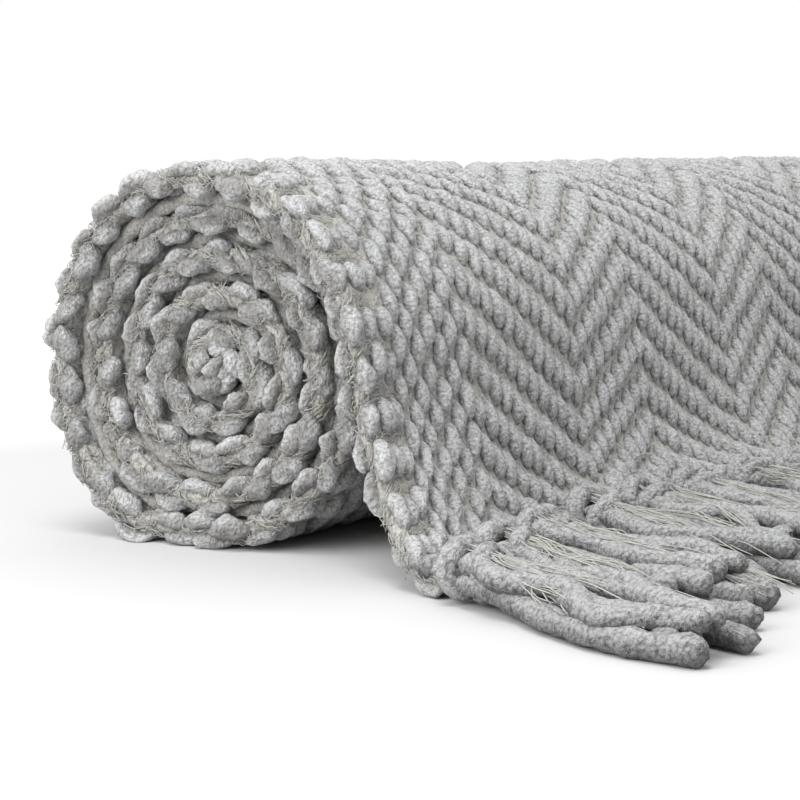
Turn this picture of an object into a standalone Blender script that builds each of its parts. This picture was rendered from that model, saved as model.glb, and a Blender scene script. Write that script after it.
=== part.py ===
"""A rolled throw blanket of chunky chenille, whose loose end drapes down its front to a knotted fringe.

Metres, +Z up. The roll lies along X, the loose end hangs on its -Y side, and all of it rests on z = 0.
"""
import math

import bmesh
import bpy
from mathutils import Vector

# Cloth
WIDTH = 1.27            # across the cloth, so along the roll
CLOTH = 0.0136          # two chenille faces and the ground threads between them
SEAT_GAP = 0.0003       # between pieces that touch

# Roll
PITCH = 0.0146          # from one layer to the next
ROLL_RADIUS = 0.079     # where the loose end leaves it
TURNS = 5
LEAVE_DEG = 67.5        # where the loose end leaves, up from the front
FLAT_SAG = 0.0028       # how far the roll's own weight flattens its underside
STEPS_PER_TURN = 32
ROLL_STATIONS = 22      # along the roll
AXIS_HEIGHT = ROLL_RADIUS - PITCH * (270 - LEAVE_DEG) / 360 - FLAT_SAG
CORE_DEPTH = 0.011      # the hollow eye of the spiral

# The edge of one layer, seen on the roll's ends: share of its thickness from the outside, and depth
EDGE_ROWS = (
    # share, depth
    (0.00, 0.0065),
    (0.24, 0.0006),
    (0.50, 0.0026),
    (0.76, 0.0006),
)

# Soft swells of the wound layers
SWELLS = (
    # height, waves along the roll, waves around it, phase
    (0.0009, 1.6, 2, 0.4),
    (0.0006, 3.1, 3, 2.1),
    (0.0004, 5.3, 1, 4.0),
)

# The roll's own weight pushes its outer layers out low at the back
SAG_BULGE = 0.0045
SAG_BULGE_DEG = 229
SAG_BULGE_SPREAD_DEG = 34
BACK_BULGE = 0.0022
BACK_BULGE_DEG = 150
BACK_BULGE_SPREAD_DEG = 55

# Layers slip sideways past each other, so the cloth's edges step in and out on both ends
SLIP_OUTER = 0.012      # the outermost layer's slip at the near end
SLIP_TURNS = 0.45       # turns over which that slip dies away
SLIP_WANDER = (
    # size, waves per turn, phase
    (0.0016, 0.7, 0.5),
    (0.0010, 1.9, 1.3),
)

# Loose end: its shape across the cloth, from the near end to the far one
DRAPE_SECTIONS = (
    # distance along the roll, angle where it lifts off, softness of the landing, reach of the bend and hem
    (0.00, 4.0, 0.16, 0.106, 0.114),
    (0.06, 6.0, 0.20, 0.104, 0.112),
    (0.14, 9.0, 0.26, 0.106, 0.117),
    (0.25, 13.0, 0.30, 0.118, 0.132),
    (0.42, 14.0, 0.30, 0.124, 0.140),
    (0.60, 12.0, 0.28, 0.118, 0.134),
    (0.80, 13.0, 0.30, 0.123, 0.139),
    (1.00, 10.0, 0.28, 0.118, 0.132),
    (1.27, 8.0, 0.24, 0.112, 0.124),
)
DRAPE_ROWS = 16         # down the loose end
DRAPE_STATIONS = 33     # across it, one for each tassel
BEND_START = 0.45       # pull of the hang's top on its curve, in shares of its chord
SLIP_HANG = 0.008       # how much more the hanging part has slipped towards the near end
SLIP_HANG_SHARE = 0.4   # share of the way down over which it slips
CURVE_STEPS = 60        # points on the arc that hugs the roll, and on the hang below it
FOLD_HEIGHT = 0.0022    # soft folds in the hanging part
FOLD_WAVES = 3.3
FOLD_PHASE = 0.8
FOLD_IN = (0.5, 0.2)    # share of the way down where the folds begin, and over which they grow
FOLD_OUT = 0.25         # share before the hem over which they flatten
NORMAL_STEP = 0.001     # for differences on the loose end's surface
CORNER_OUT = 0.026      # the near corner is pulled out along the roll, and forwards
CORNER_FORWARD = 0.015
CORNER_REACH = 0.055
CORNER_START = 0.62     # share of the way down where the pull begins

# Fringe
STRIP_HEIGHT = 0.0120
STRIP_DEPTH = 0.0045
ROOT_CELL = 0.0080      # a knot grows from three cells of this width, two high
HEAD_RINGS = (
    # forward, width, low, high
    (0.004, 0.0280, 0.0000, 0.0215),
    (0.013, 0.0310, 0.0000, 0.0250),
    (0.020, 0.0270, 0.0005, 0.0225),
)
HEAD_ROUNDING = 0.10    # how far a knot's corners are drawn in
HEM_STEP = 0.012        # for the hem's direction
STRAND_WIDTH = 0.0070
STRAND_HEIGHT = 0.0066
LAYER_GAP = 0.0005
CELL_INSET = 0.0006
STRAND_LAYERS = (
    # front row of the knot, places across it, height in strands above the floor, spread at the tips
    (0, (-1, 0, 1), 0, 0.0124),
    (1, (-1, 1), 1, 0.0074),
    (1, (0,), 2, 0.0030),
)
FRINGE_LENGTH = 0.112   # from the hem to the tips
# Unevenness of the strands from one to the next: size, turn of the angle, phase
LENGTH_WANDER = (0.006, 2.4, 0.0)
SIDE_WANDER = (0.0010, 1.7, 0.5)
LEAN_NEAR_DEG = 22.0    # strands lean towards the near end, most at the near corner
LEAN_FAR_DEG = 9.0
LEAN_REACH = 0.16
LEAN_SWAY = (2.0, 0.52, 1.0)  # degrees, wave length and phase
STRAND_STEPS = (
    # share of the way to the tip, share of the drop from the knot to where it rests
    (0.12, 0.45),
    (0.34, 1.0),
    (0.67, 1.0),
    (1.00, 1.0),
)

CHENILLE = (0.42, 0.42, 0.41)
ROLL_SHADE = 1.0
LOOSE_END_SHADE = 1.03
FRINGE_SHADE = 1.06
ROUGHNESS = 0.95
SHARP_DEG = 50
CURVES = {}             # the loose end's lines, kept by distance along the roll


def smooth(t):
    t = min(1.0, max(0.0, t))
    return t * t * (3 - 2 * t)


def swell(along, angle):
    """Radial swell at a distance along the roll and an angle around it."""
    total = 0.0
    for height, waves, around, phase in SWELLS:
        total += height * math.sin(2 * math.pi * waves * along / WIDTH + around * angle + phase)
    return total


def settle(degrees):
    """How far the weight of the roll pushes its outermost layer out at an angle around it."""
    low = math.exp(-((degrees - SAG_BULGE_DEG) / SAG_BULGE_SPREAD_DEG) ** 2)
    back = math.exp(-((degrees - BACK_BULGE_DEG) / BACK_BULGE_SPREAD_DEG) ** 2)
    return SAG_BULGE * low + BACK_BULGE * back


def slip(turn):
    """Sideways slip of the cloth after some turns in from where the loose end leaves."""
    total = SLIP_OUTER * math.exp(-turn / SLIP_TURNS)
    for size, waves, phase in SLIP_WANDER:
        total += size * math.sin(2 * math.pi * waves * turn + phase)
    return total


def spiral_point(turn, along):
    """A point on the outer face of the wound cloth: turns in from where the loose end leaves."""
    angle = math.radians(LEAVE_DEG) + 2 * math.pi * turn
    radius = ROLL_RADIUS - PITCH * turn
    radius += swell(along, angle) * radius / ROLL_RADIUS
    radius += settle((LEAVE_DEG + 360 * turn) % 360) * (radius / ROLL_RADIUS) ** 3
    height = AXIS_HEIGHT + radius * math.sin(angle)
    return Vector((0.0, -radius * math.cos(angle), max(0.0, height)))


def roll_along(turn, share, depth):
    """X of a point on the roll, at a share of the way along it."""
    near = -WIDTH / 2 - slip(turn) + depth
    far = WIDTH / 2 - slip(turn) - depth
    return near + (far - near) * share


def roll_point(turn, share, depth):
    x = roll_along(turn, share, depth)
    point = spiral_point(turn, x + WIDTH / 2)
    point.x = x
    return point


def add_spiral_end(bm, rim, share, outward):
    """The spiral of layer edges on one end. rim holds the outermost layer's outer points."""
    count = TURNS * STEPS_PER_TURN
    groove_depth = EDGE_ROWS[0][1]
    groove = list(rim)
    for i in range(len(rim), count + 1):
        groove.append(bm.verts.new(roll_point(i / STEPS_PER_TURN, share, groove_depth)))
    last = count - STEPS_PER_TURN
    rows = [groove[:last + 1]]
    for part, depth in EDGE_ROWS[1:]:
        row = []
        for i in range(last + 1):
            outer = groove[i].co
            inner = groove[i + STEPS_PER_TURN].co
            point = outer.lerp(inner, part)
            point.x += outward * (groove_depth - depth)
            row.append(bm.verts.new(point))
        rows.append(row)
    rows.append(groove[STEPS_PER_TURN:])
    faces = []
    for outer, inner in zip(rows, rows[1:]):
        for i in range(last):
            faces.append((outer[i], inner[i], inner[i + 1], outer[i + 1]))
    faces.append(tuple(row[0] for row in rows)[::-1])
    eye = sum((v.co for v in groove[last:]), Vector()) / (STEPS_PER_TURN + 1)
    eye.x -= outward * (CORE_DEPTH - groove_depth)
    eye = bm.verts.new(eye)
    for i in range(last, count):
        faces.append((groove[i], eye, groove[i + 1]))
    faces.append(tuple(row[last] for row in rows) + (eye,))
    for face in faces:
        bm.faces.new(face)


def make_roll():
    bm = bmesh.new()
    loops = []
    for station in range(ROLL_STATIONS + 1):
        share = station / ROLL_STATIONS
        loop = []
        for i in range(STEPS_PER_TURN + 1):
            loop.append(bm.verts.new(roll_point(i / STEPS_PER_TURN, share, EDGE_ROWS[0][1])))
        loops.append(loop)
    for near, far in zip(loops, loops[1:]):
        for i in range(len(near)):
            j = (i + 1) % len(near)
            bm.faces.new((near[i], near[j], far[j], far[i]))
    add_spiral_end(bm, loops[0], 0.0, -1)
    add_spiral_end(bm, loops[-1], 1.0, 1)
    return bm


def drape_section(along):
    """Lift-off angle, landing, reach of the bend and reach of the hem at a distance along the roll."""
    rows = DRAPE_SECTIONS
    for low, high in zip(rows, rows[1:]):
        if along <= high[0] or high is rows[-1]:
            t = smooth((along - low[0]) / (high[0] - low[0]))
            return [a + (b - a) * t for a, b in zip(low[1:], high[1:])]


def hang_curve(along):
    """The loose end's middle line at a distance along the roll, as evenly spaced (y, z) points."""
    lift_deg, landing, bend_reach, hem_reach = drape_section(along)
    points = []
    start = LEAVE_DEG - math.degrees(SEAT_GAP / (ROLL_RADIUS - PITCH))
    for i in range(CURVE_STEPS + 1):
        degrees = start + (lift_deg - start) * i / CURVE_STEPS
        angle = math.radians(degrees)
        radius = ROLL_RADIUS + PITCH * (LEAVE_DEG - degrees) / 360 - CLOTH / 2
        radius += swell(along - slip(0), angle) * (ROLL_RADIUS - PITCH) / ROLL_RADIUS
        points.append(Vector((-radius * math.cos(angle), AXIS_HEIGHT + radius * math.sin(angle))))
    lift = points[-1]
    foot = Vector((-bend_reach, CLOTH / 2))
    chord = (foot - lift).length
    angle = math.radians(lift_deg)
    pull_a = lift + Vector((-math.sin(angle), -math.cos(angle))) * chord * BEND_START
    pull_b = foot + Vector((1.0, 0.0)) * chord * landing
    for i in range(1, CURVE_STEPS + 1):
        t = i / CURVE_STEPS
        points.append(lift * (1 - t) ** 3 + pull_a * 3 * t * (1 - t) ** 2
                      + pull_b * 3 * t * t * (1 - t) + foot * t ** 3)
    points.append(Vector((-hem_reach, CLOTH / 2)))
    lengths = [0.0]
    for a, b in zip(points, points[1:]):
        lengths.append(lengths[-1] + (b - a).length)
    return points, lengths


def on_curve(curve, share):
    points, lengths = curve
    target = share * lengths[-1]
    for i in range(1, len(points)):
        if lengths[i] >= target or i == len(points) - 1:
            t = (target - lengths[i - 1]) / (lengths[i] - lengths[i - 1])
            return points[i - 1].lerp(points[i], t)


def drape_point(along, down):
    """A point on the loose end's middle surface: along the roll, and down from where it leaves."""
    if along not in CURVES:
        CURVES[along] = hang_curve(along)
    point = on_curve(CURVES[along], down)
    hanging = smooth((down - FOLD_IN[0]) / FOLD_IN[1]) * smooth((1 - down) / FOLD_OUT)
    fold = FOLD_HEIGHT * hanging * math.sin(2 * math.pi * FOLD_WAVES * along / WIDTH + FOLD_PHASE)
    corner = math.exp(-(along / CORNER_REACH) ** 2) * smooth((down - CORNER_START) / (1 - CORNER_START))
    slipped = slip(0) + SLIP_HANG * smooth(down / SLIP_HANG_SHARE)
    x = -WIDTH / 2 + along - slipped - CORNER_OUT * corner
    return Vector((x, point.x - fold - CORNER_FORWARD * corner, point.y))


def drape_normal(along, down):
    across = drape_point(along + NORMAL_STEP, down) - drape_point(along - NORMAL_STEP, down)
    low = max(0.0, down - NORMAL_STEP)
    high = min(1.0, down + NORMAL_STEP)
    return (drape_point(along, high) - drape_point(along, low)).cross(across).normalized()


def make_loose_end():
    """A sheet of the cloth's own thickness about its middle surface."""
    bm = bmesh.new()
    sheets = ([], [])
    for j in range(DRAPE_ROWS + 1):
        for sheet, side in zip(sheets, (1, -1)):
            verts = []
            for i in range(DRAPE_STATIONS + 1):
                place_on = (WIDTH * i / DRAPE_STATIONS, j / DRAPE_ROWS)
                point = drape_point(*place_on) + drape_normal(*place_on) * side * CLOTH / 2
                point.z = max(0.0, point.z)
                verts.append(bm.verts.new(point))
            sheet.append(verts)
    outer, inner = sheets
    for j in range(DRAPE_ROWS):
        for i in range(DRAPE_STATIONS):
            bm.faces.new((outer[j][i], outer[j + 1][i], outer[j + 1][i + 1], outer[j][i + 1]))
            bm.faces.new((inner[j][i], inner[j][i + 1], inner[j + 1][i + 1], inner[j + 1][i]))
    for j in range(DRAPE_ROWS):
        for i in (0, DRAPE_STATIONS):
            bm.faces.new((outer[j][i], outer[j + 1][i], inner[j + 1][i], inner[j][i]))
    for i in range(DRAPE_STATIONS):
        for j in (0, DRAPE_ROWS):
            bm.faces.new((outer[j][i], outer[j][i + 1], inner[j][i + 1], inner[j][i]))
    return bm


class Hem:
    """The hem's line on the floor: points and outward directions by length along it."""

    def __init__(self):
        row = [drape_point(WIDTH * i / DRAPE_STATIONS, 1.0) for i in range(DRAPE_STATIONS + 1)]
        self.points = [Vector((p.x, p.y, 0.0)) for p in row]
        self.lengths = [0.0]
        for a, b in zip(self.points, self.points[1:]):
            self.lengths.append(self.lengths[-1] + (b - a).length)

    def at(self, length):
        for i in range(1, len(self.points)):
            if self.lengths[i] >= length or i == len(self.points) - 1:
                t = (length - self.lengths[i - 1]) / (self.lengths[i] - self.lengths[i - 1])
                return self.points[i - 1].lerp(self.points[i], t)

    def outward(self, length):
        low = self.at(max(0.0, length - HEM_STEP))
        high = self.at(min(self.lengths[-1], length + HEM_STEP))
        along = (high - low).normalized()
        return Vector((along.y, -along.x, 0.0))


def lean(length):
    """Plan direction of the strands at a length along the hem."""
    degrees = LEAN_FAR_DEG + (LEAN_NEAR_DEG - LEAN_FAR_DEG) * math.exp(-(length / LEAN_REACH) ** 2)
    sway, wave, phase = LEAN_SWAY
    degrees += sway * math.sin(2 * math.pi * length / wave + phase)
    angle = math.radians(degrees)
    return Vector((-math.sin(angle), -math.cos(angle), 0.0))


def strip_lengths(hem):
    """Lengths along the hem of the strip's columns: for each tassel half a gap, three cells, half a gap."""
    lengths = []
    for low, high in zip(hem.lengths, hem.lengths[1:]):
        lengths.append(low)
        for cell in (-1.5, -0.5, 0.5, 1.5):
            lengths.append((low + high) / 2 + cell * ROOT_CELL)
    lengths.append(hem.lengths[-1])
    return lengths


def add_strip(bm, hem):
    """The narrow backing along the hem. Returns each tassel's six front cells."""
    columns = []
    for length in strip_lengths(hem):
        back = hem.at(length) + hem.outward(length) * SEAT_GAP
        front = back + hem.outward(length) * STRIP_DEPTH
        backs = [bm.verts.new(back + Vector((0, 0, z))) for z in (0.0, STRIP_HEIGHT)]
        fronts = [bm.verts.new(front + Vector((0, 0, z))) for z in (0.0, STRIP_HEIGHT / 2, STRIP_HEIGHT)]
        columns.append((backs, fronts))
    cells = [[] for _ in range(DRAPE_STATIONS)]
    for i, ((back_a, front_a), (back_b, front_b)) in enumerate(zip(columns, columns[1:])):
        bm.faces.new((back_a[0], back_a[1], back_b[1], back_b[0]))
        bm.faces.new((back_a[1], front_a[2], front_b[2], back_b[1]))
        bm.faces.new((back_a[0], back_b[0], front_b[0], front_a[0]))
        for row in (0, 1):
            face = bm.faces.new((front_a[row], front_b[row], front_b[row + 1], front_a[row + 1]))
            if i % 5 in (1, 2, 3):
                cells[i // 5].append(face)
    for backs, fronts in (columns[0], columns[-1]):
        bm.faces.new((backs[0], fronts[0], fronts[1], fronts[2], backs[1]))
    return cells


def extrude_region(bm, faces):
    made = bmesh.ops.extrude_face_region(bm, geom=faces)["geom"]
    bmesh.ops.delete(bm, geom=faces, context="FACES")
    return [f for f in made if isinstance(f, bmesh.types.BMFace)]


def grow_head(bm, cells, centre, side, forward):
    """The knot: the six cells pushed forward through a few rings. Returns its front cells."""
    for distance, width, low, high in HEAD_RINGS:
        cells = extrude_region(bm, cells)
        verts = sorted({v for f in cells for v in f.verts}, key=lambda v: v.index)
        spots = [(v, (v.co - centre).dot(side), v.co.z) for v in verts]
        widest = max(abs(s) for _, s, _ in spots)
        lowest = min(z for _, _, z in spots)
        highest = max(z for _, _, z in spots)
        for v, across, z in spots:
            a = across / widest
            b = 2 * (z - lowest) / (highest - lowest) - 1
            rounding = 1 - HEAD_ROUNDING * a * a * b * b
            v.co = centre + forward * distance + side * (a * width / 2 * rounding)
            v.co.z = (low + high) / 2 + b * (high - low) / 2 * rounding
    return cells


def grow_strand(bm, face, path):
    """Pushes a four-sided face along a path of centre points, one box-shaped length at a time."""
    start = face.calc_center_median()
    for point in path:
        made = bmesh.ops.extrude_discrete_faces(bm, faces=[face])["faces"]
        face = made[0]
        ahead = point - start
        ahead.z = 0.0
        ahead.normalize()
        side = Vector((-ahead.y, ahead.x, 0.0))
        centre = face.calc_center_median()
        for v in face.verts:
            offset = v.co - centre
            across = math.copysign(STRAND_WIDTH / 2, offset.dot(side))
            up = math.copysign(STRAND_HEIGHT / 2, offset.z)
            v.co = point + side * across + Vector((0, 0, up))
        start = point


def wander(sizes, number):
    size, turn, phase = sizes
    return size * math.sin(turn * number + phase)


def strand_path(root, forward, side, drift, rest_height, number):
    """Centre points of one strand, from its knot down to where it rests and on to its tip."""
    length = FRINGE_LENGTH - HEAD_RINGS[-1][0] + wander(LENGTH_WANDER, number)
    drift += wander(SIDE_WANDER, number)
    path = []
    for share, drop in STRAND_STEPS:
        point = root + forward * length * share + side * drift * share
        point.z = root.z + (rest_height - root.z) * drop
        path.append(point)
    return path


def make_fringe():
    bm = bmesh.new()
    hem = Hem()
    for i, cells in enumerate(add_strip(bm, hem)):
        length = (hem.lengths[i] + hem.lengths[i + 1]) / 2
        centre = hem.at(length) + hem.outward(length) * (SEAT_GAP + STRIP_DEPTH)
        forward = (hem.outward(length) + lean(length)).normalized()
        side = Vector((-forward.y, forward.x, 0.0))
        fronts = grow_head(bm, cells, centre, side, forward)
        bmesh.ops.inset_individual(bm, faces=fronts, thickness=CELL_INSET, use_even_offset=True)
        fronts.sort(key=lambda f: (f.calc_center_median() - centre).dot(side))
        rows = (fronts[:], fronts[:])
        for row, keep_low in zip(rows, (True, False)):
            row[:] = [f for f in fronts if (f.calc_center_median().z < HEAD_RINGS[-1][3] / 2) == keep_low]
        run = lean(length)
        across = Vector((-run.y, run.x, 0.0))
        number = 7 * i
        for row, places, layer, spread in STRAND_LAYERS:
            height = STRAND_HEIGHT / 2 + layer * (STRAND_HEIGHT + LAYER_GAP)
            for place in places:
                face = rows[row][place + 1]
                root = face.calc_center_median()
                drift = place * spread - (root - centre).dot(across)
                grow_strand(bm, face, strand_path(root, run, across, drift, height, number))
                number += 1
    return bm


def chenille(name, shade):
    material = bpy.data.materials.new(name)
    material.use_nodes = True
    shader = material.node_tree.nodes["Principled BSDF"]
    shader.inputs["Base Color"].default_value = (*(c * shade for c in CHENILLE), 1.0)
    shader.inputs["Roughness"].default_value = ROUGHNESS
    shader.inputs["Metallic"].default_value = 0.0
    return material


def place(bm, name, material, parent):
    bmesh.ops.recalc_face_normals(bm, faces=bm.faces[:])
    bmesh.ops.triangulate(bm, faces=bm.faces[:])
    mesh = bpy.data.meshes.new(name)
    bm.to_mesh(mesh)
    bm.free()
    mesh.shade_smooth()
    mesh.set_sharp_from_angle(angle=math.radians(SHARP_DEG))
    mesh.materials.append(material)
    piece = bpy.data.objects.new(name, mesh)
    bpy.context.scene.collection.objects.link(piece)
    piece.parent = parent
    return piece


def stand_on_centre(parent, pieces):
    """Moves the parent so that the middle of the whole part's underside is at the world's origin."""
    corners = [v.co for piece in pieces for v in piece.data.vertices]
    for axis in (0, 1):
        low = min(c[axis] for c in corners)
        high = max(c[axis] for c in corners)
        parent.location[axis] = -(low + high) / 2
    parent.location[2] = -min(c[2] for c in corners)


def main():
    for old in list(bpy.data.objects):
        bpy.data.objects.remove(old, do_unlink=True)
    frame = bpy.data.objects.new("throw", None)
    bpy.context.scene.collection.objects.link(frame)
    pieces = [
        place(make_roll(), "roll", chenille("roll_chenille", ROLL_SHADE), frame),
        place(make_loose_end(), "loose_end", chenille("loose_end_chenille", LOOSE_END_SHADE), frame),
        place(make_fringe(), "fringe", chenille("fringe_chenille", FRINGE_SHADE), frame),
    ]
    stand_on_centre(frame, pieces)
    bpy.context.view_layer.update()


main()
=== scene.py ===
"""Looks of the rolled chenille throw: woven floats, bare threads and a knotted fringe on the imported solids.

Metres, +Z up. A place on the cloth is given by its distance across (0 to WIDTH, from the near end of the
roll), its distance along (0 where the loose end leaves the roll, more towards the hem, less towards the
core) and its height over the cloth's middle surface. The sizes repeat those of the solids' own source.
"""
import math

import bpy
import numpy as np
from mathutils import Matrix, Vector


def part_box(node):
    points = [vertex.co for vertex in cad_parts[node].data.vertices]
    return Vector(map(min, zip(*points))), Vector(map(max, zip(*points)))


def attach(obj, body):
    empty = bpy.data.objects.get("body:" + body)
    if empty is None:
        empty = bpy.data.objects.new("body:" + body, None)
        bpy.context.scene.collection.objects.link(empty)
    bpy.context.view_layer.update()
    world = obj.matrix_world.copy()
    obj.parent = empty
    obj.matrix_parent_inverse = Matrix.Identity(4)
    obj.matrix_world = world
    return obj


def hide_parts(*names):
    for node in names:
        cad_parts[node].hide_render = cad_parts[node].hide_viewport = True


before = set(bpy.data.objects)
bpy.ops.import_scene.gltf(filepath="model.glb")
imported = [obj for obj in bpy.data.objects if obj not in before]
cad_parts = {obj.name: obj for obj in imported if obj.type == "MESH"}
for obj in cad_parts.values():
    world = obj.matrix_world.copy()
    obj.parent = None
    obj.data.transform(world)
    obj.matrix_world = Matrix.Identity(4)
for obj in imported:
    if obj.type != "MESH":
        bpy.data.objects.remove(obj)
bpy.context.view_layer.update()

# Cloth
WIDTH = 1.27
CLOTH = 0.0136
SEAT_GAP = 0.0003

# Roll
PITCH = 0.0146
ROLL_RADIUS = 0.079
TURNS = 5
LEAVE_DEG = 67.5
FLAT_SAG = 0.0028
STEPS_PER_TURN = 32
ROLL_STATIONS = 22
AXIS_HEIGHT = ROLL_RADIUS - PITCH * (270 - LEAVE_DEG) / 360 - FLAT_SAG
GROOVE_DEPTH = 0.0065
CREST_DEPTH = 0.0006
CREST_SHARES = (0.24, 0.76)
SWELLS = (
    # height, waves along the roll, waves around it, phase
    (0.0009, 1.6, 2, 0.4),
    (0.0006, 3.1, 3, 2.1),
    (0.0004, 5.3, 1, 4.0),
)
SAG_BULGE = 0.0045
SAG_BULGE_DEG = 229
SAG_BULGE_SPREAD_DEG = 34
BACK_BULGE = 0.0022
BACK_BULGE_DEG = 150
BACK_BULGE_SPREAD_DEG = 55
SLIP_OUTER = 0.012
SLIP_TURNS = 0.45
SLIP_WANDER = (
    # size, waves per turn, phase
    (0.0016, 0.7, 0.5),
    (0.0010, 1.9, 1.3),
)

# Loose end
DRAPE_SECTIONS = np.array((
    # distance along the roll, angle where it lifts off, softness of the landing, reach of the bend and hem
    (0.00, 4.0, 0.16, 0.106, 0.114),
    (0.06, 6.0, 0.20, 0.104, 0.112),
    (0.14, 9.0, 0.26, 0.106, 0.117),
    (0.25, 13.0, 0.30, 0.118, 0.132),
    (0.42, 14.0, 0.30, 0.124, 0.140),
    (0.60, 12.0, 0.28, 0.118, 0.134),
    (0.80, 13.0, 0.30, 0.123, 0.139),
    (1.00, 10.0, 0.28, 0.118, 0.132),
    (1.27, 8.0, 0.24, 0.112, 0.124),
))
BEND_START = 0.45
CURVE_STEPS = 60        # points on the arc that hugs the roll, and on the hang below it
SLIP_HANG = 0.008
SLIP_HANG_SHARE = 0.4   # share of the way down over which it slips
FOLD_HEIGHT = 0.0022
FOLD_WAVES = 3.3
FOLD_PHASE = 0.8
FOLD_IN = (0.5, 0.2)    # share of the way down where the folds begin, and over which they grow
FOLD_OUT = 0.25         # share before the hem over which they flatten
CORNER_OUT = 0.026
CORNER_FORWARD = 0.015
CORNER_REACH = 0.055
CORNER_START = 0.62

# Fringe
TASSELS = 33
STRIP_DEPTH = 0.0045
FRINGE_LENGTH = 0.112
LEAN_NEAR_DEG = 22.0
LEAN_FAR_DEG = 9.0
LEAN_REACH = 0.16
LEAN_SWAY = (2.0, 0.52, 1.0)  # degrees, wave length and phase

# Weave
COLUMNS = 165           # chenille yarns across the cloth, five to a tassel
HANG = 0.176            # length of the loose end
REPEATS = 10            # of the weave, down the loose end
REPEAT = HANG / REPEATS
SELVEDGE = 3            # thicker columns, in step along each edge
SELVEDGE_COLUMN = 0.0097
FIRST_ZONE = 7          # looser columns beside each selvedge
FIRST_COLUMN = 0.0081
COLUMN = ((WIDTH - 2 * SELVEDGE * SELVEDGE_COLUMN - 2 * FIRST_ZONE * FIRST_COLUMN)
          / (COLUMNS - 2 * SELVEDGE - 2 * FIRST_ZONE))
ZONES = ((12, 0.25), (8, -0.25))  # columns in a zone of the herringbone, and each one's shift in repeats
FIRST_SHIFT = -0.43
LEAN = 0.14             # the columns' sideways slope down the loose end
LEAN_START = 0.03
LEAN_NEAR = 0.06        # distance over which the near edge holds them back
LEAN_FAR = (1.05, 0.2)  # where the far edge begins to hold them back, and over which distance
SEEN_TURNS = 4.80       # the wound cloth curls on into the eye
SEED = 11

# Grid on which the cloth's surface is kept
ALONG_STEP = 0.0022
ACROSS_STEP = 0.010
OVERHANG = 0.010        # of the grid, past both edges
FLOOR_GAP = 0.0002      # every piece stays this far over the floor


def smooth(t):
    """A soft step from 0 to 1."""
    t = np.clip(t, 0.0, 1.0)
    return t * t * (3 - 2 * t)


def swell(across, angle):
    """Soft unevenness of the wound cloth's radius."""
    total = 0.0
    for height, waves, around, phase in SWELLS:
        total = total + height * np.sin(2 * math.pi * waves * across / WIDTH + around * angle + phase)
    return total


def settle(degrees):
    """Bulges where the roll has settled under its own weight."""
    low = np.exp(-((degrees - SAG_BULGE_DEG) / SAG_BULGE_SPREAD_DEG) ** 2)
    back = np.exp(-((degrees - BACK_BULGE_DEG) / BACK_BULGE_SPREAD_DEG) ** 2)
    return SAG_BULGE * low + BACK_BULGE * back


def slip(turn):
    """How far a wound layer has slipped towards the near end."""
    total = SLIP_OUTER * np.exp(-turn / SLIP_TURNS)
    for size, waves, phase in SLIP_WANDER:
        total = total + size * np.sin(2 * math.pi * waves * turn + phase)
    return total


def spiral(turn, across, inset):
    """Y and Z of the wound cloth, at a depth below its outer face."""
    angle = math.radians(LEAVE_DEG) + 2 * math.pi * turn
    radius = ROLL_RADIUS - PITCH * turn
    share = np.maximum(radius, 0.0) / ROLL_RADIUS
    radius = radius + swell(across, angle) * share
    radius = radius + settle((LEAVE_DEG + 360 * turn) % 360) * share ** 3 - inset
    return -radius * np.cos(angle), np.maximum(inset, AXIS_HEIGHT + radius * np.sin(angle))


def turn_at(along):
    """Turns in from where the loose end leaves, at a distance along the cloth."""
    middle = ROLL_RADIUS - CLOTH / 2
    return (middle - np.sqrt(middle ** 2 - PITCH * np.maximum(0.0, -along) / math.pi)) / PITCH


def along_at(turn):
    """The opposite of turn_at."""
    middle = ROLL_RADIUS - CLOTH / 2
    return -2 * math.pi * (middle * turn - PITCH * turn ** 2 / 2)


def frame_shift():
    """From the formulas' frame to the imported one, read off the roll's own box."""
    low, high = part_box("roll")
    rim = np.arange(STEPS_PER_TURN + 1)[:, None] / STEPS_PER_TURN
    near = -WIDTH / 2 - slip(rim) + GROOVE_DEPTH
    far = WIDTH / 2 - slip(rim) - GROOVE_DEPTH
    x = near + (far - near) * np.arange(ROLL_STATIONS + 1) / ROLL_STATIONS
    y, _ = spiral(rim, x + WIDTH / 2, 0.0)
    turns = np.arange((TURNS - 1) * STEPS_PER_TURN + 1) / STEPS_PER_TURN
    crests = [slip(turns) * (1 - share) + slip(turns + 1) * share for share in CREST_SHARES]
    nearest = -WIDTH / 2 - np.max(crests) + CREST_DEPTH
    return np.array((low.x - nearest, (low.y + high.y) / 2 - (y.min() + y.max()) / 2, 0.0))


SHIFT = frame_shift()


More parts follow.
